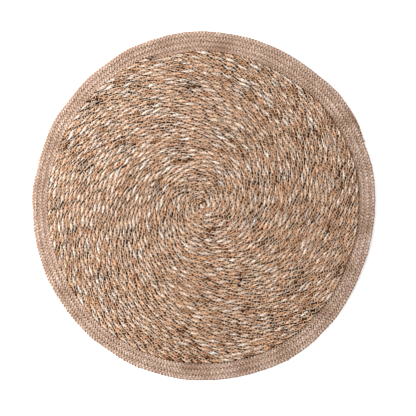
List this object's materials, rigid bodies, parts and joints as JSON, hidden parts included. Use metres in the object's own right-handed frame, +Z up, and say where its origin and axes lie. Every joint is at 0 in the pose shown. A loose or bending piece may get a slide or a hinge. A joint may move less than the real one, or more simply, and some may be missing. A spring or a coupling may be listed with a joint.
{
  "type": "chair seat pad",
  "caption": "Round flat seat pad or mat: a twisted grass cord wound into a spiral and sewn row to row, framed by rows of jute plait.",
  "frame": {"origin": "on the underside, at the middle of the pad's outline", "axes": "+Z up through the thickness; +X and +Y across the pad, with +Y away from the sitter"},
  "size_m": [0.3778, 0.3794, 0.005],
  "materials": {
    "seagrass": "dry twisted grass cord, matt with a faint straw sheen, tan with dark gaps and pale silvery streaks",
    "jute": "matt plaited jute yarn, even greyish beige, slightly hairy",
    "thread": "thin beige spun sewing thread with a low sheen"
  },
  "bodies": {
    "root": {"seagrass_ply_a": "seagrass", "seagrass_ply_b": "seagrass", "plait_strand_a": "jute", "plait_strand_b": "jute", "plait_strand_c": "jute", "needle_thread": "thread", "bobbin_thread": "thread"}
  },
  "joints": []
}
